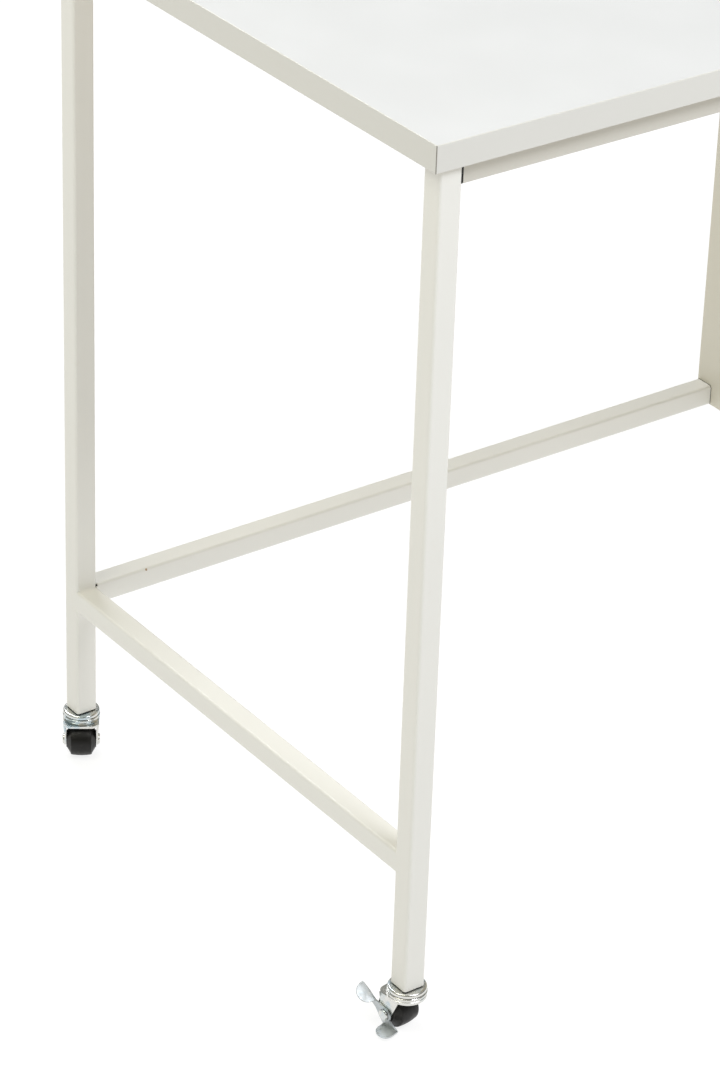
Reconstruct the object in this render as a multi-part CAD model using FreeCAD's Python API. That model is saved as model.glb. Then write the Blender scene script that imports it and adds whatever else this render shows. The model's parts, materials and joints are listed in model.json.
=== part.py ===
"""Sewing table on casters: laminated top, square-tube steel frame and a two-drawer storage unit.

Millimetres. The origin is on the floor under the middle of the table top, +X runs along the
table's length, +Y points to the rear and +Z is up. Each node is written as one STEP file.
"""

import FreeCAD, Part
import math
import os

from FreeCAD import Vector

# ---- driving dimensions --------------------------------------------------------------------
TABLE_LENGTH = 1110.0
TABLE_DEPTH = 520.0
TABLE_HEIGHT = 782.0
TOP_THICKNESS = 22.0
EDGE_BAND = 1.0
BAND_RADIUS = 0.8

TUBE = 20.0
TUBE_WALL = 1.2
TUBE_CORNER = 2.5
LEG_INSET_X = 8.0
LEG_INSET_Y = 5.0
FRONT_RAIL_SETBACK = 6.0
SIDE_RAIL_DROP = 592.0
REAR_RAIL_DROP = 590.0
WELD_LEG = 3.0
WELD_WIDTH = 15.0

FRONT_COLLAR = 5.3
REAR_COLLAR = 0.6
RELIEF = 1.6
RELIEF_DEPTH = 2.4
PLUG_LENGTH = 18.0
PLUG_PLAY = 0.2
STUD_RADIUS = 3.0
CAP_LIP = 1.0
CAP_DEPTH = 5.0
SOCKET_DEPTH = 30.0
STEM_DEPTH = 25.0
STEM_PLAY = 0.02
NUT_RADIUS = 4.5
NUT_LENGTH = 8.0
TOP_SCREW_RADIUS = 2.0
TOP_SCREW_LENGTH = 34.0

BOARD = 15.0
THIN_BOARD = 3.0
KNEE_WIDTH = 695.0
UPPER_FRONT_HEIGHT = 120.0
LOWER_FRONT_HEIGHT = 160.0
FRONT_GAP = 3.0
DRAWER_SIDE_GAP = 2.0
DRAWER_RECESS = 17.0
DRAWER_SIDE = 12.0
DRAWER_LENGTH = 430.0
DRAWER_BOX_DROP = 22.0
DRAWER_BOX_RISE = 8.0
BOTTOM_GROOVE = 4.0
BOTTOM_LIFT = 8.0
RUNNER_HEIGHT = 16.4
RUNNER_REACH = 9.5
RUNNER_GROOVE_HEIGHT = 17.0
RUNNER_GROOVE_DEPTH = 8.0
RUNNER_RISE = 34.0
KNOB_LENGTH = 20.0
KNOB_RADIUS = 13.0
CABINET_SCREW_RADIUS = 2.5
CABINET_SCREW_LENGTH = 45.0
CABINET_SCREW_HEAD = 5.0
CABINET_SCREW_PLACES = (-200.0, 0.0, 200.0)
TOP_SCREW_PLACES = (-430.0, -150.0, 130.0, 400.0)
SMALL_SCREW_RADIUS = 1.5
RUNNER_SCREW_LENGTH = 14.0
RUNNER_SCREW_INSET = 40.0
JOINT_SCREW_LENGTH = 28.0
HEAD_DEPTH = 3.0

CASTER_HEIGHT = 43.0
WHEEL_RADIUS = 15.0
WHEEL_WIDTH = 19.0
WHEEL_HUB_RADIUS = 7.5
WHEEL_SHOULDER = 1.6
WHEEL_CROWNING = 0.6
WHEEL_TRAIL = 8.5
AXLE_RADIUS = 3.0
RUNNING_FIT = 0.06
KINGPIN_RADIUS = 4.0
BALL_RADIUS = 1.6
BALL_CIRCLE = 11.0
BALL_COUNT = 14
CAP_RADIUS = 16.2
CAP_FLOOR = 38.3
RACE_Z = 38.1
RACE_PLAY = 0.05
CROWN_RADIUS = 16.6
CROWN_TOP = 37.9
CROWN_STEP = 35.3
CROWN_FLOOR = 31.7
HOOD = 2.0
RIVET_RADIUS = 7.0
RIVET_FLOOR = 31.9
RIVET_TOP = 33.7
RIVET_ROOM = 7.6
RIVET_CEILING = 34.0
CHEEK_IN = 13.4
CHEEK_EYE = 5.6
CHEEK_FRONT = -6.0
CHEEK = 1.6
CHEEK_FLARE = 0.8
FLARE_START = 25.0
HOOD_REACH = 19.0
HOOD_CORNER = 7.0
AXLE_HEAD = 1.5
AXLE_HEAD_RADIUS = 4.8
SHEET = 1.5
LEVER_EYE = 6.5
ARM_START = 9.0
LEVER_GAP = 0.3
LEVER_RISE = 13.5
LEVER_REACH = 18.5
PAD_TILT = 100.0
PAD_RADIUS = 9.0
PAD_NECK = 2.0
ARM_HALF = 3.6
FOOT_FRONT = -7.0
FOOT_REAR = 9.0
FOOT_Z = 6.0
FOOT_REACH = 13.0
FOOT_CORNER = 7.0
FOOT_DROOP = 8.0
# swivel of each caster as it stands: 0 trails straight to the rear
CASTERS = {
    "front_left": {"swivel": 9.0, "brake": True},
    "rear_left": {"swivel": 147.0, "brake": False},
    "front_right": {"swivel": 24.0, "brake": True},
    "rear_right": {"swivel": -164.0, "brake": False},
}

# ---- places worked out from them -----------------------------------------------------------
HALF_LENGTH = TABLE_LENGTH / 2
HALF_DEPTH = TABLE_DEPTH / 2
UNDERSIDE = TABLE_HEIGHT - TOP_THICKNESS
LEG_X = HALF_LENGTH - LEG_INSET_X - TUBE / 2
LEG_Y = HALF_DEPTH - LEG_INSET_Y - TUBE / 2
LEG_OUTER_Y = LEG_Y + TUBE / 2
LEG_INNER_X = LEG_X - TUBE / 2
LEG_INNER_Y = LEG_Y - TUBE / 2
SIDE_RAIL_Z = UNDERSIDE - SIDE_RAIL_DROP - TUBE / 2
REAR_RAIL_Z = UNDERSIDE - REAR_RAIL_DROP - TUBE / 2
UPPER_RAIL_Z = UNDERSIDE - TUBE / 2
FRONT_RAIL_Y = -LEG_Y + FRONT_RAIL_SETBACK
CABINET_LEFT = -LEG_INNER_X + KNEE_WIDTH
CABINET_RIGHT = LEG_INNER_X
CABINET_FLOOR = REAR_RAIL_Z - TUBE / 2
CABINET_CEILING = UNDERSIDE - TUBE
BAY_LEFT = CABINET_LEFT + BOARD
BAY_RIGHT = CABINET_RIGHT - BOARD
FRONT_FACE = -LEG_OUTER_Y + DRAWER_RECESS
UPPER_FRONT_Z = CABINET_CEILING - FRONT_GAP - UPPER_FRONT_HEIGHT
LOWER_FRONT_Z = UPPER_FRONT_Z - FRONT_GAP - LOWER_FRONT_HEIGHT
SHELF_TOP = LOWER_FRONT_Z - FRONT_GAP
BACK_FACE = LEG_OUTER_Y - 1.0 - THIN_BOARD

CAP_TOP = CASTER_HEIGHT - CAP_LIP
AXLE_POINT = Vector(0, WHEEL_TRAIL, WHEEL_RADIUS)
LEVER_ARM = Vector(0, LEVER_REACH, LEVER_RISE)

X_AXIS = Vector(1, 0, 0)
Y_AXIS = Vector(0, 1, 0)
Z_AXIS = Vector(0, 0, 1)
ORIGIN = Vector(0, 0, 0)


# ---- small helpers -------------------------------------------------------------------------
def box(x0, x1, y0, y1, z0, z1):
    return Part.makeBox(x1 - x0, y1 - y0, z1 - z0, Vector(x0, y0, z0))


def rod(radius, start, axis, length):
    return Part.makeCylinder(radius, length, start, axis)


def prism(points, direction):
    """A straight prism on a closed outline."""
    corners = [Vector(*p) for p in points]
    outline = Part.makePolygon(corners + corners[:1])
    return Part.Face(outline).extrude(direction)


def revolve(profile, centre, axis):
    """A body of revolution; profile is a closed list of edges in a plane through the axis."""
    return Part.Face(Part.Wire(profile)).revolve(centre, axis, 360)


def profile_edges(points):
    """Straight edges round a closed list of points, where a triple (a, middle, b) is an arc."""
    edges = []
    last = None
    first = None
    for item in points:
        if isinstance(item, tuple):
            start, middle, end = item
        else:
            start, middle, end = item, None, item
        if last is not None and last.distanceToPoint(start) > 1e-7:
            edges.append(Part.makeLine(last, start))
        if middle is not None:
            edges.append(Part.Arc(start, middle, end).toShape())
        if first is None:
            first = start
        last = end
    edges.append(Part.makeLine(last, first))
    return edges


def round_corner(start, corner, end):
    """A quarter arc from start to end that rounds the square corner between them."""
    centre = start + end - corner
    middle = centre + (corner - centre) * (1 / math.sqrt(2))
    return (start, middle, end)


def bar(width, length, corner, hollow=0.0):
    """A square bar along +Z from the origin with rounded long edges, hollow if a wall is given."""
    outer = box(-width / 2, width / 2, -width / 2, width / 2, 0, length)
    long_edges = [e for e in outer.Edges if abs(e.tangentAt(e.FirstParameter).z) > 0.9]
    outer = outer.makeFillet(corner, long_edges)
    if hollow:
        bore = bar(width - 2 * hollow, length + 2, max(corner - hollow, 0.3))
        bore.translate(Vector(0, 0, -1))
        outer = outer.cut(bore)
    return outer


def laid_along(shape, axis, place):
    """Turns a shape built along +Z so that it runs along +X or +Y, and moves it to its place."""
    turned = shape.copy()
    if axis == "X":
        turned.rotate(ORIGIN, Y_AXIS, 90)
    elif axis == "Y":
        turned.rotate(ORIGIN, X_AXIS, -90)
    turned.translate(place)
    return turned


def group(shapes):
    return Part.makeCompound(shapes)


NODES = {}


def keep(name, shape):
    NODES[name] = shape


def corners():
    """The four leg places, by name."""
    for end, x in (("left", -LEG_X), ("right", LEG_X)):
        for side, y in (("front", -LEG_Y), ("rear", LEG_Y)):
            yield side + "_" + end, x, y


# ---- table top -----------------------------------------------------------------------------
def table_top():
    """The laminated board, and the four strips of edge band that close its core."""
    core_x = HALF_LENGTH - EDGE_BAND
    core_y = HALF_DEPTH - EDGE_BAND
    keep("table_top", box(-core_x, core_x, -core_y, core_y, UNDERSIDE, TABLE_HEIGHT))
    for name, sign in (("front", -1), ("rear", 1)):
        inner, outer = sorted((sign * core_y, sign * HALF_DEPTH))
        strip = box(-HALF_LENGTH, HALF_LENGTH, inner, outer, UNDERSIDE, TABLE_HEIGHT)
        edges = [
            e for e in strip.Edges
            if abs(e.CenterOfMass.y - sign * HALF_DEPTH) < 1e-6 and e.Length > TOP_THICKNESS + 1
        ]
        keep("edge_band_" + name, strip.makeFillet(BAND_RADIUS, edges))
    for name, sign in (("left", -1), ("right", 1)):
        inner, outer = sorted((sign * core_x, sign * HALF_LENGTH))
        strip = box(inner, outer, -core_y, core_y, UNDERSIDE, TABLE_HEIGHT)
        edges = [
            e for e in strip.Edges
            if abs(e.CenterOfMass.x - sign * HALF_LENGTH) < 1e-6 and e.Length > TOP_THICKNESS + 1
        ]
        keep("edge_band_" + name, strip.makeFillet(BAND_RADIUS, edges))


# ---- steel frame ---------------------------------------------------------------------------
def legs():
    tube = bar(TUBE, UNDERSIDE - CASTER_HEIGHT, TUBE_CORNER, TUBE_WALL)
    for name, x, y in corners():
        keep("leg_" + name, laid_along(tube, "Z", Vector(x, y, CASTER_HEIGHT)))


def side_rails():
    """Lower side rails, coped round the legs' corners so that the outer faces run on flush."""
    reach = LEG_INNER_Y + TUBE_CORNER
    tube = bar(TUBE, 2 * reach, TUBE_CORNER, TUBE_WALL)
    leg = bar(TUBE, UNDERSIDE, TUBE_CORNER)
    for end, x in (("left", -LEG_X), ("right", LEG_X)):
        rail = laid_along(tube, "Y", Vector(x, -reach, SIDE_RAIL_Z))
        for y in (-LEG_Y, LEG_Y):
            rail = rail.cut(laid_along(leg, "Z", Vector(x, y, 0)))
        keep("side_rail_" + end, rail)


def side_frame_welds():
    """Concave weld fillets above and below each end of the two side rails."""
    beads = []
    for x in (-LEG_X, LEG_X):
        for y_sign in (-1, 1):
            for z_sign in (-1, 1):
                y = y_sign * LEG_INNER_Y
                z = SIDE_RAIL_Z + z_sign * TUBE / 2
                left = x - WELD_WIDTH / 2
                corner = Vector(left, y, z)
                on_rail = Vector(left, y - y_sign * WELD_LEG, z)
                on_leg = Vector(left, y, z + z_sign * WELD_LEG)
                far = on_rail + on_leg - corner
                middle = far + (corner - far) * (1 / math.sqrt(2))
                edges = profile_edges([corner, (on_rail, middle, on_leg)])
                beads.append(Part.Face(Part.Wire(edges)).extrude(Vector(WELD_WIDTH, 0, 0)))
    keep("side_frame_welds", group(beads))


def long_rails():
    """The rails along X, shorter than the space they span by their end collars."""
    front = LEG_INNER_X - FRONT_COLLAR
    rear = LEG_INNER_X - REAR_COLLAR
    tube = bar(TUBE, 2 * front, TUBE_CORNER, TUBE_WALL)
    keep("front_rail_upper", laid_along(tube, "X", Vector(-front, FRONT_RAIL_Y, UPPER_RAIL_Z)))
    tube = bar(TUBE, 2 * rear, TUBE_CORNER, TUBE_WALL)
    keep("rear_rail_upper", laid_along(tube, "X", Vector(-rear, LEG_Y, UPPER_RAIL_Z)))
    tube = bar(TUBE, KNEE_WIDTH - REAR_COLLAR, TUBE_CORNER, TUBE_WALL)
    lower = laid_along(tube, "X", Vector(-LEG_INNER_X, LEG_Y, REAR_RAIL_Z))
    top = REAR_RAIL_Z + TUBE / 2
    relief = box(-LEG_INNER_X, RELIEF - LEG_INNER_X, LEG_INNER_Y, LEG_INNER_Y + RELIEF_DEPTH,
                 top - RELIEF_DEPTH, top)
    keep("rear_rail_lower", lower.cut(relief))


def rail_ends():
    """Every rail end as (node, x of the face it meets, direction into the rail, y, z, collar)."""
    return [
        ("front_rail_collars", -LEG_INNER_X, 1, FRONT_RAIL_Y, UPPER_RAIL_Z, FRONT_COLLAR),
        ("front_rail_collars", LEG_INNER_X, -1, FRONT_RAIL_Y, UPPER_RAIL_Z, FRONT_COLLAR),
        ("rear_rail_plugs", -LEG_INNER_X, 1, LEG_Y, UPPER_RAIL_Z, REAR_COLLAR),
        ("rear_rail_plugs", LEG_INNER_X, -1, LEG_Y, UPPER_RAIL_Z, REAR_COLLAR),
        ("rear_rail_plugs", -LEG_INNER_X, 1, LEG_Y, REAR_RAIL_Z, 0.0),
        ("rear_rail_plugs", CABINET_LEFT, -1, LEG_Y, REAR_RAIL_Z, REAR_COLLAR),
    ]


def rail_fittings():
    """Plastic end plugs, most with a square collar, and studs screwed into nuts in the legs."""
    plugs = {"front_rail_collars": [], "rear_rail_plugs": []}
    studs = []
    body_width = TUBE - 2 * TUBE_WALL - 2 * PLUG_PLAY
    for node, x, way, y, z, collar in rail_ends():
        length = collar + PLUG_LENGTH
        plug = bar(body_width, length, TUBE_CORNER - TUBE_WALL)
        if collar:
            plug = plug.fuse(bar(TUBE, collar, TUBE_CORNER))
        turn = 90 if way > 0 else -90
        plug.rotate(ORIGIN, Y_AXIS, turn)
        plug.translate(Vector(x, y, z))
        inward = Vector(way, 0, 0)
        centre = Vector(x, y, z)
        if node == "front_rail_collars":
            centre.y -= FRONT_RAIL_SETBACK / 2
        plugs[node].append(plug.cut(rod(STUD_RADIUS, centre, inward, length)))
        if abs(x) == LEG_INNER_X:
            wall = centre - inward * TUBE_WALL
            stud = rod(STUD_RADIUS, wall, inward, length + TUBE_WALL)
            studs.append(stud.fuse(rod(NUT_RADIUS, wall, -inward, NUT_LENGTH)))
    for node, solids in plugs.items():
        keep(node, group(solids))
    keep("rail_studs", group(studs))
    for name, x, y in corners():
        NODES["leg_" + name] = NODES["leg_" + name].cut(group(studs))


def leg_end_fittings():
    """Plastic caps in the legs' top ends and the threaded sockets in their bottom ends."""
    width = TUBE - 2 * TUBE_WALL - 2 * PLUG_PLAY
    corner = TUBE_CORNER - TUBE_WALL
    caps = []
    sockets = []
    for name, x, y in corners():
        caps.append(laid_along(bar(width, CAP_DEPTH, corner), "Z", Vector(x, y, UNDERSIDE - CAP_DEPTH)))
        socket = bar(width, SOCKET_DEPTH, corner)
        lip = bar(TUBE - 2 * CAP_LIP, CAP_LIP, TUBE_CORNER - 1)
        lip.translate(Vector(0, 0, -CAP_LIP))
        socket = socket.fuse(lip)
        bore = rod(KINGPIN_RADIUS + STEM_PLAY, Vector(0, 0, -CAP_LIP), Z_AXIS, STEM_DEPTH + CAP_LIP)
        socket = socket.cut(bore)
        sockets.append(laid_along(socket, "Z", Vector(x, y, CASTER_HEIGHT)))
    keep("leg_top_caps", group(caps))
    keep("caster_sockets", group(sockets))


def pan_screw(radius, length, head_radius, head_height):
    """A pan-head screw along +Z with its head below z = 0."""
    shank = rod(radius, ORIGIN, Z_AXIS, length)
    head = rod(head_radius, Vector(0, 0, -head_height), Z_AXIS, head_height)
    rim = [e for e in head.Edges if abs(e.CenterOfMass.z + head_height) < 1e-6]
    return shank.fuse(head.makeFillet(head_height * 0.6, rim))


def top_screws():
    """Screws up through the two upper rails into the board, and their clearance holes."""
    screw = pan_screw(TOP_SCREW_RADIUS, TOP_SCREW_LENGTH, 2 * TOP_SCREW_RADIUS, 1.6)
    places = []
    for x in TOP_SCREW_PLACES:
        places.append(Vector(x, FRONT_RAIL_Y, UNDERSIDE - TUBE))
        places.append(Vector(x, LEG_Y, UNDERSIDE - TUBE))
    holes = group([rod(TOP_SCREW_RADIUS, p, Z_AXIS, TOP_SCREW_LENGTH) for p in places])
    for node in ("front_rail_upper", "rear_rail_upper", "table_top"):
        NODES[node] = NODES[node].cut(holes)
    keep("top_screws", group([laid_along(screw, "Z", p) for p in places]))


# ---- storage unit --------------------------------------------------------------------------
def upright(left):
    """A side board of the storage unit, notched at its top corners round the upper rails."""
    board = box(left, left + BOARD, -LEG_OUTER_Y, LEG_OUTER_Y, CABINET_FLOOR, UNDERSIDE)
    front_rail_back = FRONT_RAIL_Y + TUBE / 2
    notches = [
        box(left, left + BOARD, -LEG_OUTER_Y, front_rail_back, CABINET_CEILING, UNDERSIDE),
        box(left, left + BOARD, LEG_INNER_Y, LEG_OUTER_Y, CABINET_CEILING, UNDERSIDE),
    ]
    return board.cut(group(notches))


def cabinet():
    """The carcass: two uprights, a bottom, a fixed shelf under the drawers, and a thin back."""
    keep("cabinet_side_left", upright(CABINET_LEFT))
    keep("cabinet_side_right", upright(BAY_RIGHT))
    bottom_top = CABINET_FLOOR + BOARD
    keep("cabinet_bottom", box(BAY_LEFT, BAY_RIGHT, -LEG_OUTER_Y, BACK_FACE, CABINET_FLOOR, bottom_top))
    shelf_floor = SHELF_TOP - BOARD
    keep("cabinet_shelf", box(BAY_LEFT, BAY_RIGHT, FRONT_FACE, BACK_FACE, shelf_floor, SHELF_TOP))
    back_top = CABINET_CEILING
    back = box(BAY_LEFT, BAY_RIGHT, BACK_FACE, BACK_FACE + THIN_BOARD, CABINET_FLOOR, back_top)
    keep("cabinet_back", back)


def countersunk_screw(start, way, radius, length):
    """A flat-head screw along X, its head flush with the plane x = start.x."""
    axis = Vector(way, 0, 0)
    head = Part.makeCone(CABINET_SCREW_HEAD, radius, HEAD_DEPTH, start, axis)
    return rod(radius, start, axis, length).fuse(head)


def cabinet_screws():
    """Screws from the uprights into the bottom and shelf, the rear rail and the right legs."""
    screws = []
    for z in (CABINET_FLOOR + BOARD / 2, SHELF_TOP - BOARD / 2):
        for y in CABINET_SCREW_PLACES:
            for x, way in ((CABINET_LEFT, 1), (CABINET_RIGHT, -1)):
                place = Vector(x, y, z)
                screws.append(
                    countersunk_screw(place, way, CABINET_SCREW_RADIUS, CABINET_SCREW_LENGTH)
                )
    rail_end = Vector(BAY_LEFT, LEG_Y, REAR_RAIL_Z)
    screws.append(countersunk_screw(rail_end, -1, STUD_RADIUS, BOARD + PLUG_LENGTH))
    for y in (-LEG_Y, LEG_Y):
        for z in (CABINET_FLOOR + 110.0, CABINET_CEILING - 100.0):
            place = Vector(BAY_RIGHT, y, z)
            length = BOARD + TUBE_WALL + NUT_LENGTH
            screws.append(countersunk_screw(place, 1, CABINET_SCREW_RADIUS, length))
    held = ["cabinet_side_left", "cabinet_side_right", "cabinet_bottom", "cabinet_shelf"]
    for node in held + ["leg_front_right", "leg_rear_right"]:
        NODES[node] = NODES[node].cut(group(screws))
    keep("cabinet_screws", group(screws))


def drawer_heights():
    """(name, floor of the front, height of the front) of the two drawers."""
    yield "upper_drawer", UPPER_FRONT_Z, UPPER_FRONT_HEIGHT
    yield "lower_drawer", LOWER_FRONT_Z, LOWER_FRONT_HEIGHT


def runner_z(front_floor):
    return front_floor + DRAWER_BOX_RISE + RUNNER_RISE


def runners():
    """Battens on the uprights that the grooved drawer sides slide on, with their screws."""
    front = FRONT_FACE + BOARD + 5.0
    rear = front + DRAWER_LENGTH
    battens = []
    screws = []
    head = 2 * SMALL_SCREW_RADIUS
    screw = pan_screw(SMALL_SCREW_RADIUS, RUNNER_SCREW_LENGTH, head, 1.0)
    for name, floor, height in drawer_heights():
        z = runner_z(floor)
        for wall, way in ((BAY_LEFT, 1), (BAY_RIGHT, -1)):
            x0, x1 = sorted((wall, wall + way * RUNNER_REACH))
            batten = box(x0, x1, front, rear, z - RUNNER_HEIGHT / 2, z + RUNNER_HEIGHT / 2)
            for y in (front + RUNNER_SCREW_INSET, (front + rear) / 2, rear - RUNNER_SCREW_INSET):
                seat = wall + way * (RUNNER_REACH - head)
                set_screw = screw.copy()
                set_screw.rotate(ORIGIN, Y_AXIS, -90 * way)
                set_screw.translate(Vector(seat, y, z))
                hole = rod(head + 0.2, Vector(seat, y, z), Vector(way, 0, 0), head + 1.0)
                batten = batten.cut(hole).cut(set_screw)
                screws.append(set_screw)
            battens.append(batten)
    for node in ("cabinet_side_left", "cabinet_side_right"):
        NODES[node] = NODES[node].cut(group(screws))
    keep("drawer_runners", group(battens))
    keep("runner_screws", group(screws))


def knob():
    """A turned knob along +Z: foot at z = 0, waist, and a domed head with a small flat."""
    rim = KNOB_RADIUS
    foot = 7.0
    waist = 5.0
    neck_z = 8.0
    head_z = 11.0
    edge = rim - 2.0
    points = [
        Vector(0, 0, 0),
        Vector(foot, 0, 0),
        (Vector(foot, 0, 1.5), Vector(waist + 0.6, 0, 4.5), Vector(waist, 0, neck_z)),
        (Vector(edge, 0, head_z), Vector(rim, 0, head_z + 2), Vector(edge, 0, head_z + 4)),
        (Vector(edge, 0, head_z + 4), Vector(7.2, 0, KNOB_LENGTH - 1.4), Vector(2.5, 0, KNOB_LENGTH)),
        Vector(0, 0, KNOB_LENGTH),
    ]
    return revolve(profile_edges(points), ORIGIN, Z_AXIS)


def drawer(name, floor, height):
    """An inset drawer: front, two grooved sides, back, thin bottom, knob and screws."""
    left = BAY_LEFT + DRAWER_SIDE_GAP
    right = BAY_RIGHT - DRAWER_SIDE_GAP
    inner_face = FRONT_FACE + BOARD
    rear = inner_face + DRAWER_LENGTH
    box_floor = floor + DRAWER_BOX_RISE
    box_top = floor + height - DRAWER_BOX_DROP
    bottom_z = box_floor + BOTTOM_LIFT
    inside_left = left + DRAWER_SIDE
    inside_right = right - DRAWER_SIDE
    bottom = box(inside_left - BOTTOM_GROOVE, inside_right + BOTTOM_GROOVE, inner_face,
                 rear - DRAWER_SIDE, bottom_z, bottom_z + THIN_BOARD)
    z = runner_z(floor)
    half = RUNNER_GROOVE_HEIGHT / 2
    sides = {}
    for side, outer, inner, way in (("left", left, inside_left, 1), ("right", right, inside_right, -1)):
        x0, x1 = sorted((outer, inner))
        board = box(x0, x1, inner_face, rear, box_floor, box_top)
        g0, g1 = sorted((outer, outer + way * RUNNER_GROOVE_DEPTH))
        board = board.cut(box(g0, g1, inner_face, rear, z - half, z + half))
        sides[side] = board.cut(bottom)
    back = box(inside_left, inside_right, rear - DRAWER_SIDE, rear, bottom_z, box_top)
    front = box(left, right, FRONT_FACE, inner_face, floor, floor + height)
    centre = Vector((left + right) / 2, FRONT_FACE, floor + height / 2)
    knob_screw = pan_screw(2.0, BOARD + 8.0, 4.0, 1.6)
    knob_screw.rotate(ORIGIN, X_AXIS, 90)
    knob_screw.translate(centre + Vector(0, BOARD, 0))
    screws = [knob_screw]
    head = 1.2
    for outer, way in ((left, 1), (right, -1)):
        for level in (box_floor + 16.0, box_top - 14.0):
            joint = pan_screw(SMALL_SCREW_RADIUS, JOINT_SCREW_LENGTH, 2 * SMALL_SCREW_RADIUS, head)
            joint.rotate(ORIGIN, Y_AXIS, 90 * way)
            joint.translate(Vector(outer + way * head, rear - DRAWER_SIDE / 2, level))
            screws.append(joint)
    turned_knob = knob()
    turned_knob.rotate(ORIGIN, X_AXIS, 90)
    turned_knob.translate(centre)
    fixings = group(screws)
    keep(name + "_front", front.cut(fixings))
    keep(name + "_side_left", sides["left"].cut(fixings))
    keep(name + "_side_right", sides["right"].cut(fixings))
    keep(name + "_back", back.cut(fixings))
    keep(name + "_bottom", bottom)
    keep(name + "_knob", turned_knob.cut(fixings))
    keep(name + "_screws", fixings)


# ---- casters -------------------------------------------------------------------------------
# A caster is built on its own swivel axis, x = y = 0, on the floor, trailing towards +y, and
# is then turned to its swivel and moved under its leg.


def ring_groove():
    return Part.makeTorus(BALL_CIRCLE, BALL_RADIUS + RACE_PLAY, Vector(0, 0, RACE_Z), Z_AXIS)


def caster_stem():
    """Kingpin with its lower rivet head; its upper end is the stem in the leg's socket."""
    pin = rod(KINGPIN_RADIUS, Vector(0, 0, RIVET_FLOOR), Z_AXIS,
              CASTER_HEIGHT + STEM_DEPTH - RIVET_FLOOR)
    head = rod(RIVET_RADIUS, Vector(0, 0, RIVET_FLOOR), Z_AXIS, RIVET_TOP - RIVET_FLOOR)
    return pin.fuse(head)


def caster_cap():
    """The fixed upper race: a thick pressed ring with a rounded shoulder."""
    r, top, floor = CAP_RADIUS, CAP_TOP, CAP_FLOOR
    points = [
        Vector(KINGPIN_RADIUS, 0, floor),
        round_corner(Vector(r - 0.8, 0, floor), Vector(r, 0, floor), Vector(r, 0, floor + 0.8)),
        round_corner(Vector(r, 0, top - 1.8), Vector(r, 0, top), Vector(r - 1.8, 0, top)),
        Vector(KINGPIN_RADIUS, 0, top),
    ]
    return revolve(profile_edges(points), ORIGIN, Z_AXIS).cut(ring_groove())


def caster_balls():
    balls = []
    for i in range(BALL_COUNT):
        angle = 2 * math.pi * i / BALL_COUNT
        place = Vector(BALL_CIRCLE * math.cos(angle), BALL_CIRCLE * math.sin(angle), RACE_Z)
        balls.append(Part.makeSphere(BALL_RADIUS, place))
    return balls


def fork_crown():
    """The turning lower race: two stacked beads, a bore for the kingpin and room for its head."""
    bore = KINGPIN_RADIUS + RUNNING_FIT
    r, lower = CROWN_RADIUS, CROWN_RADIUS - 0.3
    points = [
        Vector(bore, 0, RIVET_CEILING),
        Vector(RIVET_ROOM, 0, RIVET_CEILING),
        Vector(RIVET_ROOM, 0, CROWN_FLOOR),
        round_corner(Vector(lower - 0.8, 0, CROWN_FLOOR), Vector(lower, 0, CROWN_FLOOR),
                     Vector(lower, 0, CROWN_FLOOR + 0.8)),
        Vector(lower, 0, CROWN_STEP - 0.7),
        Vector(lower - 0.6, 0, CROWN_STEP - 0.2),
        Vector(lower - 0.6, 0, CROWN_STEP),
        Vector(r - 0.6, 0, CROWN_STEP),
        round_corner(Vector(r - 0.6, 0, CROWN_STEP), Vector(r, 0, CROWN_STEP),
                     Vector(r, 0, CROWN_STEP + 0.6)),
        round_corner(Vector(r, 0, CROWN_TOP - 1.0), Vector(r, 0, CROWN_TOP),
                     Vector(r - 1.0, 0, CROWN_TOP)),
        Vector(bore, 0, CROWN_TOP),
    ]
    return revolve(profile_edges(points), ORIGIN, Z_AXIS).cut(ring_groove())


def fork_cheek(way):
    """One cheek of the fork: upright at the axle, flared out above to the edge of the crown."""
    inner = CHEEK_IN
    outer = CHEEK_IN + CHEEK
    top = CROWN_FLOOR + HOOD
    low = WHEEL_RADIUS - CHEEK_EYE
    strip = prism(
        [
            (way * inner, -20, low), (way * outer, -20, low), (way * outer, -20, FLARE_START),
            (way * (outer + CHEEK_FLARE), -20, top), (way * (inner + CHEEK_FLARE), -20, top),
            (way * inner, -20, FLARE_START),
        ],
        Vector(0, 50, 0),
    )
    eye, side = CHEEK_EYE, -2 * CHEEK_IN
    y, z = WHEEL_TRAIL, WHEEL_RADIUS
    rear = HOOD_REACH - HOOD_CORNER / 2
    waist = Vector(side, y + eye + 0.8, (z + top) / 2)
    edges = profile_edges([
        Vector(side, CHEEK_FRONT, top),
        (Vector(side, y - eye, z), Vector(side, y, z - eye), Vector(side, y + eye, z)),
        (Vector(side, y + eye, z), waist, Vector(side, rear, top)),
    ])
    outline = Part.Face(Part.Wire(edges)).extrude(Vector(-2 * side, 0, 0))
    return strip.common(outline)


def fork_hood():
    """The plate that carries the crown's floor back over the wheel, between the two cheeks."""
    half, reach, r = CHEEK_IN + CHEEK + CHEEK_FLARE - 0.4, HOOD_REACH, HOOD_CORNER
    points = [
        Vector(-half, 0, CROWN_FLOOR), Vector(half, 0, CROWN_FLOOR),
        round_corner(Vector(half, reach - r, CROWN_FLOOR), Vector(half, reach, CROWN_FLOOR),
                     Vector(half - r, reach, CROWN_FLOOR)),
        round_corner(Vector(r - half, reach, CROWN_FLOOR), Vector(-half, reach, CROWN_FLOOR),
                     Vector(-half, reach - r, CROWN_FLOOR)),
    ]
    plate = Part.Face(Part.Wire(profile_edges(points))).extrude(Vector(0, 0, HOOD))
    return plate.cut(rod(CROWN_RADIUS - 1.0, Vector(0, 0, CROWN_FLOOR), Z_AXIS, HOOD))


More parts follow.
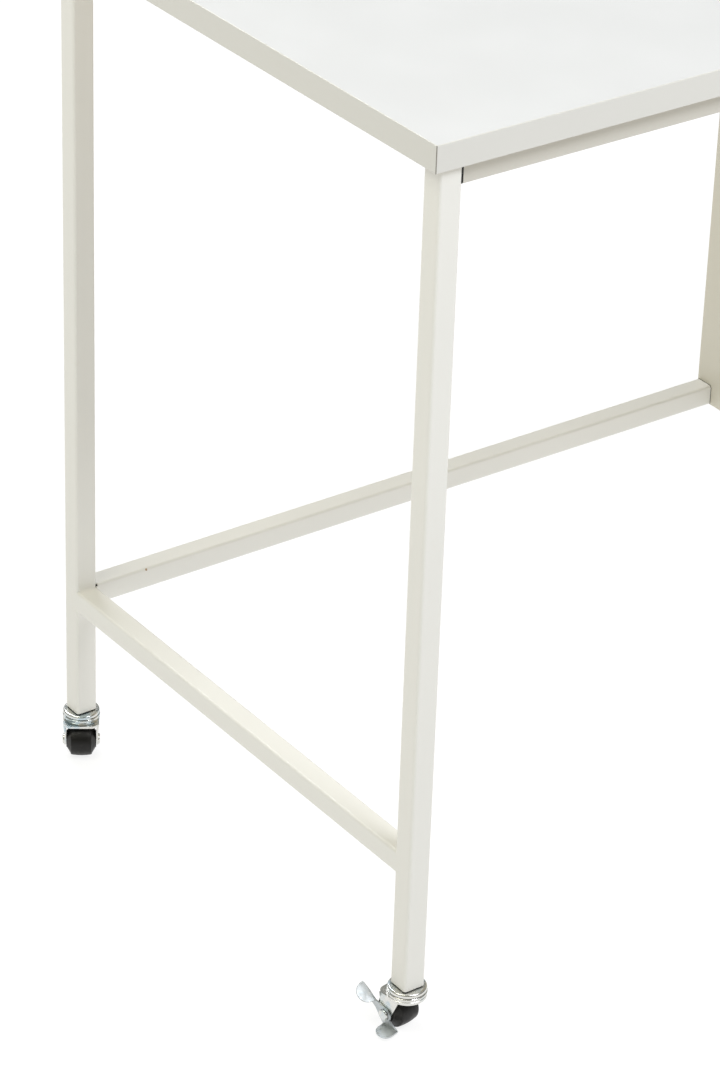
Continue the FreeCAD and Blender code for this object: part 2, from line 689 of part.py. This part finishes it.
def fork():
    body = fork_crown().fuse([fork_hood(), fork_cheek(-1), fork_cheek(1)])
    axle_line = Vector(-20, WHEEL_TRAIL, WHEEL_RADIUS)
    return body.cut(rod(AXLE_RADIUS, axle_line, X_AXIS, 40)).removeSplitter()


def axle(brake):
    """Rivet through both cheeks; on a braked caster its head stands out past the lever."""
    cheek = CHEEK_IN + CHEEK
    left = cheek + (2 * LEVER_GAP + SHEET if brake else 0.0)
    shaft = rod(AXLE_RADIUS, AXLE_POINT - X_AXIS * left, X_AXIS, left + cheek)
    heads = [
        (AXLE_POINT - X_AXIS * (left + AXLE_HEAD), -(left + AXLE_HEAD)),
        (AXLE_POINT + X_AXIS * cheek, cheek + AXLE_HEAD),
    ]
    body = shaft
    for start, outer_x in heads:
        head = rod(AXLE_HEAD_RADIUS, start, X_AXIS, AXLE_HEAD)
        rim = [e for e in head.Edges if abs(e.CenterOfMass.x - outer_x) < 1e-6]
        body = body.fuse(head.makeFillet(1.2, rim))
    return body


def wheel():
    """A moulded wheel: a broad hub, faces that taper to rounded shoulders, a crowned tread."""
    half = WHEEL_WIDTH / 2
    hub = CHEEK_IN - 0.3
    bore = AXLE_RADIUS + RUNNING_FIT
    r = WHEEL_SHOULDER
    edge = WHEEL_RADIUS - WHEEL_CROWNING
    boss = WHEEL_HUB_RADIUS

    def at(radius, x):
        return Vector(x, WHEEL_TRAIL, WHEEL_RADIUS + radius)

    points = [
        at(bore, -hub), at(boss, -hub), at(boss + 0.4, 0.6 - hub), at(edge - r, -half),
        round_corner(at(edge - r, -half), at(edge, -half), at(edge, r - half)),
        (at(edge, r - half), at(WHEEL_RADIUS, 0), at(edge, half - r)),
        round_corner(at(edge, half - r), at(edge, half), at(edge - r, half)),
        at(boss + 0.4, hub - 0.6), at(boss, hub), at(bore, hub),
    ]
    return revolve(profile_edges(points), AXLE_POINT, X_AXIS)


def lever_tab(origin, along, outward, half_width, straight, corner):
    """A pressed tab that starts at origin, is 2 half_width wide and has a rounded outer end."""
    along = FreeCAD.Vector(along).normalize()
    outward = FreeCAD.Vector(outward).normalize()
    normal = along.cross(outward)

    def at(s, t):
        return origin + along * s + outward * t - normal * (SHEET / 2)

    w, r = half_width, corner
    tip = straight + r
    points = [
        at(-w, 0), at(w, 0),
        round_corner(at(w, straight), at(w, tip), at(w - r, tip)),
        round_corner(at(r - w, tip), at(-w, tip), at(-w, straight)),
    ]
    return Part.Face(Part.Wire(profile_edges(points))).extrude(normal * SHEET)


def brake_lever():
    """A bent sheet-steel lever on the axle: a raised pad behind to lock, a low tab to release."""
    cheek = CHEEK_IN + CHEEK
    inner = -(cheek + LEVER_GAP)
    outer = inner - SHEET
    y, z = WHEEL_TRAIL, WHEEL_RADIUS
    reach = LEVER_ARM.Length
    arm = LEVER_ARM * (1 / reach)
    across = Vector(0, -arm.z, arm.y)
    start = Vector(outer, y, z)
    eye = rod(LEVER_EYE, start, X_AXIS, SHEET)
    tip = start + LEVER_ARM
    eye_half = across * (LEVER_EYE - 0.3)
    arm_half = across * ARM_HALF
    waist = start + arm * ARM_START
    pad_reach = arm * PAD_RADIUS
    outline = [
        start + eye_half, start - eye_half, waist - arm_half, tip + pad_reach * 0.6 - arm_half,
        tip + pad_reach * 0.9, tip + across, tip - pad_reach + across, waist + arm_half,
    ]
    plate = prism([tuple(point) for point in outline], Vector(SHEET, 0, 0))
    skirt = prism(
        [
            (outer, y - 0.75 * LEVER_EYE, z - 3.0), (outer, FOOT_FRONT, FOOT_Z),
            (outer, FOOT_REAR, FOOT_Z), (outer, y + 0.95 * LEVER_EYE, z - 2.0),
            (outer, y + 3.0, z + 3.0),
        ],
        Vector(SHEET, 0, 0),
    )
    middle = (outer + inner) / 2
    tilt = math.radians(PAD_TILT)
    pad_out = Vector(-math.sin(tilt), 0, 0) + across * math.cos(tilt)
    pad_root = Vector(middle, y, z) + LEVER_ARM + across * 0.3
    pad = lever_tab(pad_root, arm, pad_out, PAD_RADIUS, PAD_NECK, PAD_RADIUS - 0.01)
    droop = math.radians(FOOT_DROOP)
    foot_root = Vector(middle, (FOOT_FRONT + FOOT_REAR) / 2, FOOT_Z)
    foot_half = (FOOT_REAR - FOOT_FRONT) / 2
    foot_out = Vector(-math.cos(droop), 0, -math.sin(droop))
    foot = lever_tab(foot_root, Y_AXIS, foot_out, foot_half, FOOT_REACH - FOOT_CORNER, FOOT_CORNER)
    body = eye.fuse([plate, skirt, pad, foot])
    axle_hole = rod(AXLE_RADIUS + RUNNING_FIT, start - X_AXIS * 5, X_AXIS, 10)
    return body.cut(axle_hole).removeSplitter()


def casters():
    """Four casters; the pieces that stay with the frame are grouped, the turning ones are not."""
    stems = []
    caps = []
    balls = []
    for name, x, y in corners():
        swivel = CASTERS[name]["swivel"]
        brake = CASTERS[name]["brake"]

        def placed(shape):
            shape.rotate(ORIGIN, Z_AXIS, swivel)
            shape.translate(Vector(x, y, 0))
            return shape

        stems.append(placed(caster_stem()))
        caps.append(placed(caster_cap()))
        balls.extend(placed(ball) for ball in caster_balls())
        keep("fork_" + name, placed(fork()))
        keep("axle_" + name, placed(axle(brake)))
        keep("wheel_" + name, placed(wheel()))
        if brake:
            keep("brake_lever_" + name, placed(brake_lever()))
    keep("caster_stems", group(stems))
    keep("caster_caps", group(caps))
    keep("caster_balls", group(balls))


# ---- build and write -----------------------------------------------------------------------
def build():
    table_top()
    legs()
    side_rails()
    side_frame_welds()
    long_rails()
    rail_fittings()
    leg_end_fittings()
    top_screws()
    cabinet()
    cabinet_screws()
    runners()
    for name, floor, height in drawer_heights():
        drawer(name, floor, height)
    casters()
    os.makedirs("parts", exist_ok=True)
    for name, shape in NODES.items():
        shape.exportStep("parts/" + name + ".step")
        valid = shape.isValid()
        print(f"{name:28s} solids {len(shape.Solids):3d} valid {valid} volume {shape.Volume:12.1f}")
    print(len(NODES), "nodes")


build()
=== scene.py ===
import json
import math

import bpy
from mathutils import Matrix, Vector

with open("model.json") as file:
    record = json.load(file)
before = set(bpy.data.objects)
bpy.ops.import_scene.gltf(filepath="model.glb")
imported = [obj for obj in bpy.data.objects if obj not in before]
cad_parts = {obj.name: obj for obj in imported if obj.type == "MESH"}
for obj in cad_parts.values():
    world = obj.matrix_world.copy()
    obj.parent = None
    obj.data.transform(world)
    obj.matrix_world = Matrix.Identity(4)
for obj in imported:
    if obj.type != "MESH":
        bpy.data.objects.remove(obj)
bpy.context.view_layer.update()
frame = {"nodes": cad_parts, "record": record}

# ---- colours (linear red, green, blue) and finishes -------------------------------------------
WHITE_STEEL = (0.83, 0.82, 0.775)
# Darker, warmer copy of the white coat for the front rail under the board: painted shade, the
# shadow of the board's overhang put into its colour.
SHADE_PAINTED_STEEL = (0.65, 0.628, 0.565)
WHITE_BOARD = (0.70, 0.702, 0.708)
# Underside of the board: a backing sheet whose dark beige tone is painted shade, darkening the
# light the board throws onto the parts beneath it.
BACKING_SHEET_AND_SHADE = (0.42, 0.33, 0.18)
WHITE_BAND = (0.70, 0.69, 0.65)
WHITE_PANEL = (0.70, 0.67, 0.57)
BLACK_PLASTIC = (0.0045, 0.0043, 0.004)
BLACK_TREAD = (0.0055, 0.005, 0.0045)
BRIGHT_ZINC = (0.70, 0.695, 0.665)
LEVER_ZINC = (0.50, 0.525, 0.535)
FASTENER_ZINC = (0.74, 0.74, 0.72)
NICKEL = (0.62, 0.60, 0.56)
NYLON = (0.82, 0.82, 0.79)

PRIMER = (0.42, 0.27, 0.14)
GLUE = (0.10, 0.085, 0.06)
DUST = (0.05, 0.046, 0.04)
ZINC_BLUE = (0.46, 0.57, 0.63)
ZINC_DULL = (0.47, 0.45, 0.39)
GRIME_FACTORS = (0.93, 0.91, 0.86)

# Upright glue lines stand at the four corners of the board.
HALF_LENGTH, HALF_DEPTH = 0.555, 0.260
SEAMS = [(x, y) for x in (-HALF_LENGTH, HALF_LENGTH) for y in (-HALF_DEPTH, HALF_DEPTH)]
SEAM_HALF_WIDTH, SEAM_EDGE = 0.00045, 0.0003

# One chip in the coat of the low rear rail: where it is and its radius.
RAIL_CHIPS = [((-0.4755, 0.2350, 0.1690), 0.0012)]
CHIP_EDGE = 0.0006


# ---- shader helpers ------------------------------------------------------------------------
class Shader:
    """A material with a Principled BSDF and short calls to add nodes to it."""

    def __init__(self, name):
        self.mat = bpy.data.materials.new(name)
        self.mat.use_nodes = True
        self.nodes = self.mat.node_tree.nodes
        self.links = self.mat.node_tree.links
        self.bsdf = self.nodes["Principled BSDF"]
        coords = self.nodes.new("ShaderNodeTexCoord")
        self.place = coords.outputs["Object"]
        self.normal = coords.outputs["Normal"]

    def set(self, **values):
        names = {
            "color": "Base Color", "metal": "Metallic", "rough": "Roughness",
            "specular": "Specular IOR Level", "subsurface": "Subsurface Weight",
        }
        for key, value in values.items():
            self.feed(self.bsdf.inputs[names[key]], value)

    def feed(self, socket, value):
        if isinstance(value, bpy.types.NodeSocket):
            self.links.new(value, socket)
        elif isinstance(value, (tuple, list)) and len(value) == 3 and socket.type == "RGBA":
            socket.default_value = (*value, 1.0)
        else:
            socket.default_value = value

    def scaled(self, factors):
        node = self.nodes.new("ShaderNodeMapping")
        self.links.new(self.place, node.inputs["Vector"])
        node.inputs["Scale"].default_value = factors
        return node.outputs["Vector"]

    def noise(self, scale, detail=3.0, rough=0.5, stretch=None, distortion=0.0):
        node = self.nodes.new("ShaderNodeTexNoise")
        self.links.new(self.scaled(stretch) if stretch else self.place, node.inputs["Vector"])
        node.inputs["Scale"].default_value = scale
        node.inputs["Detail"].default_value = detail
        node.inputs["Roughness"].default_value = rough
        node.inputs["Distortion"].default_value = distortion
        return node.outputs["Fac"]

    def span(self, value, low, high, to_low=0.0, to_high=1.0):
        node = self.nodes.new("ShaderNodeMapRange")
        node.interpolation_type = "SMOOTHSTEP"
        self.feed(node.inputs["Value"], value)
        node.inputs["From Min"].default_value = low
        node.inputs["From Max"].default_value = high
        node.inputs["To Min"].default_value = to_low
        node.inputs["To Max"].default_value = to_high
        return node.outputs["Result"]

    def math(self, operation, a, b=0.0):
        node = self.nodes.new("ShaderNodeMath")
        node.operation = operation
        self.feed(node.inputs[0], a)
        self.feed(node.inputs[1], b)
        return node.outputs[0]

    def blend(self, factor, a, b):
        node = self.nodes.new("ShaderNodeMix")
        node.data_type = "RGBA"
        self.feed(node.inputs["Factor"], factor)
        colour_inputs = [s for s in node.inputs if s.type == "RGBA"]
        self.feed(colour_inputs[0], a)
        self.feed(colour_inputs[1], b)
        return [s for s in node.outputs if s.type == "RGBA"][0]

    def bump(self, height, strength, distance, chain=None):
        node = self.nodes.new("ShaderNodeBump")
        node.inputs["Strength"].default_value = strength
        node.inputs["Distance"].default_value = distance
        self.links.new(height, node.inputs["Height"])
        if chain is not None:
            self.links.new(chain, node.inputs["Normal"])
        self.links.new(node.outputs["Normal"], self.bsdf.inputs["Normal"])
        return node.outputs["Normal"]

    def facing_down(self):
        """1 on faces that look straight down, 0 on the others."""
        split = self.nodes.new("ShaderNodeSeparateXYZ")
        self.links.new(self.normal, split.inputs[0])
        return self.span(split.outputs["Z"], -0.9, -0.7, 1.0, 0.0)

    def upright_line(self, centre, radius, edge):
        """1 close to an upright line through (x, y), 0 away from it."""
        node = self.nodes.new("ShaderNodeVectorMath")
        node.operation = "DISTANCE"
        self.links.new(self.scaled((1.0, 1.0, 0.0)), node.inputs[0])
        node.inputs[1].default_value = (*centre, 0.0)
        return self.span(node.outputs["Value"], radius, radius + edge, 1.0, 0.0)

    def spot(self, centre, radius, edge):
        """1 inside a ragged spot round a point of the piece, 0 outside."""
        node = self.nodes.new("ShaderNodeVectorMath")
        node.operation = "DISTANCE"
        self.links.new(self.place, node.inputs[0])
        node.inputs[1].default_value = centre
        frayed = self.span(self.noise(900.0), 0.3, 0.7, 0.0, edge)
        ragged = self.math("ADD", node.outputs["Value"], frayed)
        return self.span(ragged, radius, radius + edge, 1.0, 0.0)


def powder_coat(name, color, chips=()):
    """Baked powder: orange peel, faint dirt, and small chips down to a rusty primer."""
    s = Shader(name)
    clouds = s.noise(9.0, 2.0)
    tone = s.blend(s.span(clouds, 0.3, 0.7), tuple(c * 0.985 for c in color), color)
    grime = s.span(s.noise(60.0, 5.0, 0.65), 0.62, 0.8, 0.0, 0.35)
    tone = s.blend(grime, tone, tuple(c * f for c, f in zip(color, GRIME_FACTORS)))
    for place, radius in chips:
        tone = s.blend(s.spot(place, radius, CHIP_EDGE), tone, PRIMER)
    peel = s.noise(650.0, 2.0, 0.45)
    fine = s.noise(2600.0, 2.0, 0.5)
    s.set(color=tone, rough=s.span(clouds, 0.25, 0.75, 0.36, 0.46), specular=0.5)
    s.bump(fine, 0.12, 0.00008, s.bump(peel, 0.22, 0.0002))
    return s


def laminate(name, color, pebble=0.1, underside=None):
    """Pressed decor sheet: fine pearl, faint scratches, and a dark beige underside, a backing
    sheet whose dark tone is also painted shade that darkens the light the board throws onto the
    parts beneath it.
    """
    s = Shader(name)
    clouds = s.noise(5.0, 3.0)
    tone = s.blend(s.span(clouds, 0.3, 0.7), tuple(c * 0.992 for c in color), color)
    # Faces that look down take the dark underside colour: painted shade for the space under the
    # board.
    if underside:
        tone = s.blend(s.facing_down(), tone, underside)
    pearl = s.noise(1500.0, 2.0, 0.5)
    scratch = s.span(s.noise(30.0, 4.0, 0.7, stretch=(0.6, 14.0, 1.0)), 0.64, 0.7)
    smear = s.span(s.noise(14.0, 4.0, 0.6), 0.35, 0.7, 0.34, 0.44)
    s.set(color=tone, rough=s.math("SUBTRACT", smear, s.math("MULTIPLY", scratch, 0.04)))
    s.bump(pearl, pebble, 0.0001)
    return s


def edge_band(name, color, seams):
    """Plastic strip with a faint ribbing, and a dark glue line at the joints of the strips."""
    s = Shader(name)
    clouds = s.noise(12.0, 3.0)
    tone = s.blend(s.span(clouds, 0.3, 0.7), tuple(c * 0.985 for c in color), color)
    glue = None
    for corner in seams:
        line = s.upright_line(corner, SEAM_HALF_WIDTH, SEAM_EDGE)
        glue = line if glue is None else s.math("MAXIMUM", glue, line)
    tone = s.blend(s.math("MULTIPLY", glue, 0.8), tone, GLUE)
    grain = s.noise(260.0, 3.0, 0.5, stretch=(0.2, 0.2, 3.0))
    s.set(color=tone, rough=s.span(clouds, 0.3, 0.7, 0.3, 0.38))
    s.bump(grain, 0.12, 0.0001)
    return s


def moulded_black(name, color, rough, scuff):
    """Black plastic with a fine grain and patches of grey dust."""
    s = Shader(name)
    dust = s.span(s.noise(160.0, 5.0, 0.7), 0.5, 0.75, 0.0, scuff)
    tone = s.blend(dust, color, DUST)
    grain = s.noise(1800.0, 2.0, 0.6)
    finish = s.span(s.noise(220.0, 4.0), 0.3, 0.7, rough - 0.08, rough + 0.1)
    s.set(color=tone, rough=finish, specular=0.32)
    s.bump(grain, 0.2, 0.0001)
    return s


def zinc(name, color, rough):
    """Bright zinc plate: bluish in places, duller in others, with the faint ripple of pressing."""
    s = Shader(name)
    film = s.noise(70.0, 3.0, 0.5, distortion=0.8)
    tint = s.blend(s.span(film, 0.45, 0.7, 0.0, 0.75), color, ZINC_BLUE)
    dull = s.span(s.noise(190.0, 4.0, 0.6), 0.56, 0.78, 0.0, 0.45)
    tint = s.blend(dull, tint, ZINC_DULL)
    finish = s.span(s.noise(240.0, 3.0), 0.3, 0.7, rough - 0.05, rough + 0.1)
    s.set(color=tint, metal=1.0, rough=finish)
    ripple = s.noise(120.0, 2.0, 0.4)
    s.bump(s.noise(900.0, 3.0, 0.6), 0.05, 0.00005, s.bump(ripple, 0.10, 0.0003))
    return s


def satin_metal(name, color, rough):
    """Turned metal with faint rings from the tool."""
    s = Shader(name)
    rings = s.noise(420.0, 3.0, 0.5, stretch=(1.0, 6.0, 1.0))
    s.set(color=color, metal=1.0, rough=s.span(rings, 0.3, 0.7, rough - 0.05, rough + 0.07))
    s.bump(rings, 0.08, 0.00008)
    return s


def pale_plastic(name, color):
    """Cloudy plastic that lets a little light in."""
    s = Shader(name)
    s.set(color=color, rough=s.span(s.noise(40.0, 3.0), 0.3, 0.7, 0.38, 0.5), subsurface=0.05)
    s.bump(s.noise(1400.0, 2.0), 0.15, 0.0001)
    return s


coat = powder_coat("white_powder_coat", WHITE_STEEL).mat
# The front rail's coat is the white coat darkened: painted shade from the board above it.
shade_painted_coat = powder_coat("white_powder_coat_painted_shade", SHADE_PAINTED_STEEL).mat
chipped = powder_coat("white_powder_coat_chipped", WHITE_STEEL, RAIL_CHIPS).mat
top = laminate("white_laminate", WHITE_BOARD, underside=BACKING_SHEET_AND_SHADE).mat
panel = laminate("white_melamine", WHITE_PANEL, 0.2).mat
band = edge_band("edge_band", WHITE_BAND, SEAMS).mat
black = moulded_black("black_plastic", BLACK_PLASTIC, 0.45, 0.2).mat
tread = moulded_black("wheel_black", BLACK_TREAD, 0.42, 0.5).mat
plated = zinc("zinc_pressing", BRIGHT_ZINC, 0.2).mat
lever = zinc("zinc_lever", LEVER_ZINC, 0.42).mat
fastener = zinc("zinc_fastener", FASTENER_ZINC, 0.3).mat
nickel = satin_metal("satin_nickel", NICKEL, 0.28).mat
nylon = pale_plastic("white_nylon", NYLON).mat

MATERIAL_OF_SLOT = {
    "white_laminate": top, "edge_band": band, "white_powder_coat": coat, "white_melamine": panel,
    "black_plastic": black, "white_nylon": nylon, "zinc_fastener": fastener,
    "zinc_pressing": plated, "satin_nickel": nickel, "wheel_black": tread,
}
MATERIAL_OF_NODE = {
    "rear_rail_lower": chipped, "front_rail_upper": shade_painted_coat,
    "brake_lever_front_left": lever, "brake_lever_front_right": lever,
}

# ---- the CAD nodes -------------------------------------------------------------------------
BEVELS = {
    "white_laminate": 0.00015, "edge_band": 0.00025, "white_powder_coat": 0.0002,
    "white_melamine": 0.0004, "black_plastic": 0.0003, "white_nylon": 0.0004,
    "zinc_fastener": 0.0002, "zinc_pressing": 0.00022, "satin_nickel": 0.0002,
    "wheel_black": 0.0002,
}
SHARP_EDGE = math.radians(38)


def dress(node, obj, slot_name):
    obj.data.materials.clear()
    obj.data.materials.append(MATERIAL_OF_NODE.get(node, MATERIAL_OF_SLOT[slot_name]))
    bevel = obj.modifiers.new("edges", "BEVEL")
    bevel.width = BEVELS[slot_name]
    bevel.segments = 2
    bevel.limit_method = "ANGLE"
    bevel.angle_limit = SHARP_EDGE
    bevel.harden_normals = True


for part in frame["record"]["subparts"]:
    dress(part["node"], frame["nodes"][part["node"]], part["material_slot"])

# ---- stage ---------------------------------------------------------------------------------
FLOOR_REACH = 60.0
FLOOR_COLOUR = (0.22, 0.22, 0.22)
FLOOR_GLOW = 0.84

# Light of the room: its middle colour, how that changes to the right and to the rear, and its
# level at a few heights above the horizon (0 is level, 1 is straight up).
ROOM = (0.28, 0.28, 0.25)
ROOM_TO_RIGHT = (-0.06, -0.055, -0.03)
ROOM_TO_REAR = (0.05, 0.05, 0.05)
ROOM_STRENGTH = 1.7
LEVEL_AT_HORIZON, LEVEL_OVERHEAD = 1.5, 1.0
LEVELS_BETWEEN = (
    (0.04, 1.4), (0.07, 0.26), (0.13, 0.62), (0.24, 0.66), (0.33, 0.34), (0.45, 0.62),
)

# Name, place, point aimed at, width, height, watts and colour of each lamp.
SOFTBOXES = (
    ("left", (-2.05, 0.1, 3.1), (-0.5, 0.0, 0.4), 1.5, 1.5, 31.0, (1.0, 0.985, 0.86)),
    ("front", (0.2, -2.0, 3.0), (-0.4, 0.0, 0.4), 1.4, 1.2, 56.0, (0.97, 0.99, 1.05)),
    ("rear", (-0.2, 2.5, 2.7), (-0.3, 0.2, 0.4), 1.5, 1.5, 44.0, (0.97, 1.0, 1.08)),
)

CAMERA_PLACE = (-2.10237, -2.27914, 1.92303)
CAMERA_RIGHT = (0.81394, -0.58018, 0.02987)
CAMERA_DOWN = (-0.26816, -0.42083, -0.86660)
LENS_MM, SENSOR_MM = 132.0, 36.0
CAMERA_REACH = 50.0

scene = bpy.context.scene


def floor():
    r = FLOOR_REACH
    mesh = bpy.data.meshes.new("floor")
    mesh.from_pydata([(-r, -r, 0), (r, -r, 0), (r, r, 0), (-r, r, 0)], [], [(0, 1, 2, 3)])
    obj = bpy.data.objects.new("floor", mesh)
    scene.collection.objects.link(obj)
    s = Shader("floor_paper")
    s.set(color=FLOOR_COLOUR, rough=s.span(s.noise(3.0), 0.3, 0.7, 0.7, 0.8), specular=0.2)
    s.bsdf.inputs["Emission Color"].default_value = (1, 1, 1, 1)
    s.bsdf.inputs["Emission Strength"].default_value = FLOOR_GLOW
    mesh.materials.append(s.mat)


def softbox(name, place, aim, width, height, power, color):
    data = bpy.data.lights.new(name, "AREA")
    data.shape = "RECTANGLE"
    data.size = width
    data.size_y = height
    data.energy = power
    data.color = color
    obj = bpy.data.objects.new(name, data)
    obj.location = place
    obj.rotation_euler = (Vector(aim) - Vector(place)).to_track_quat("-Z", "Y").to_euler()
    scene.collection.objects.link(obj)


def surroundings():
    """A pale room, brighter to the left and the rear, with soft bands for bright metal."""
    world = bpy.data.worlds.new("studio")
    scene.world = world
    world.use_nodes = True
    nodes, links = world.node_tree.nodes, world.node_tree.links
    background = nodes["Background"]
    direction = nodes.new("ShaderNodeTexCoord").outputs["Generated"]
    split = nodes.new("ShaderNodeSeparateXYZ")
    links.new(direction, split.inputs[0])

    def scaled(amount, colour):
        node = nodes.new("ShaderNodeVectorMath")
        node.operation = "SCALE"
        node.inputs[0].default_value = colour
        links.new(amount, node.inputs["Scale"])
        return node.outputs[0]

    def added(a, b):
        node = nodes.new("ShaderNodeVectorMath")
        node.operation = "ADD"
        links.new(a, node.inputs[0])
        if isinstance(b, tuple):
            node.inputs[1].default_value = b
        else:
            links.new(b, node.inputs[1])
        return node.outputs[0]

    to_right = scaled(split.outputs["X"], ROOM_TO_RIGHT)
    to_rear = scaled(split.outputs["Y"], ROOM_TO_REAR)
    round_room = added(added(to_right, to_rear), ROOM)
    ramp = nodes.new("ShaderNodeValToRGB")
    links.new(split.outputs["Z"], ramp.inputs["Fac"])
    stops = ramp.color_ramp.elements
    stops[0].position, stops[1].position = 0.0, 1.0
    stops[0].color = (LEVEL_AT_HORIZON, LEVEL_AT_HORIZON, LEVEL_AT_HORIZON, 1)
    stops[1].color = (LEVEL_OVERHEAD, LEVEL_OVERHEAD, LEVEL_OVERHEAD, 1)
    for height, level in LEVELS_BETWEEN:
        stops.new(height).color = (level, level, level, 1)
    product = nodes.new("ShaderNodeVectorMath")
    product.operation = "MULTIPLY"
    links.new(round_room, product.inputs[0])
    links.new(ramp.outputs["Color"], product.inputs[1])
    links.new(product.outputs[0], background.inputs["Color"])
    background.inputs["Strength"].default_value = ROOM_STRENGTH


def camera():
    """At the photograph's viewpoint: from the front left and above, with no shift."""
    data = bpy.data.cameras.new("camera")
    data.sensor_fit = "VERTICAL"
    data.sensor_width = SENSOR_MM
    data.sensor_height = SENSOR_MM
    data.lens = LENS_MM
    data.clip_end = CAMERA_REACH
    obj = bpy.data.objects.new("camera", data)
    right = Vector(CAMERA_RIGHT).normalized()
    down = Vector(CAMERA_DOWN).normalized()
    ahead = right.cross(down)
    turn = Matrix((right, -down, -ahead)).transposed()
    obj.matrix_world = Matrix.Translation(CAMERA_PLACE) @ turn.to_4x4()
    scene.collection.objects.link(obj)
    scene.camera = obj


floor()
surroundings()
for lamp in SOFTBOXES:
    softbox(*lamp)
camera()
scene.view_settings.view_transform = "Standard"
scene.view_settings.look = "None"
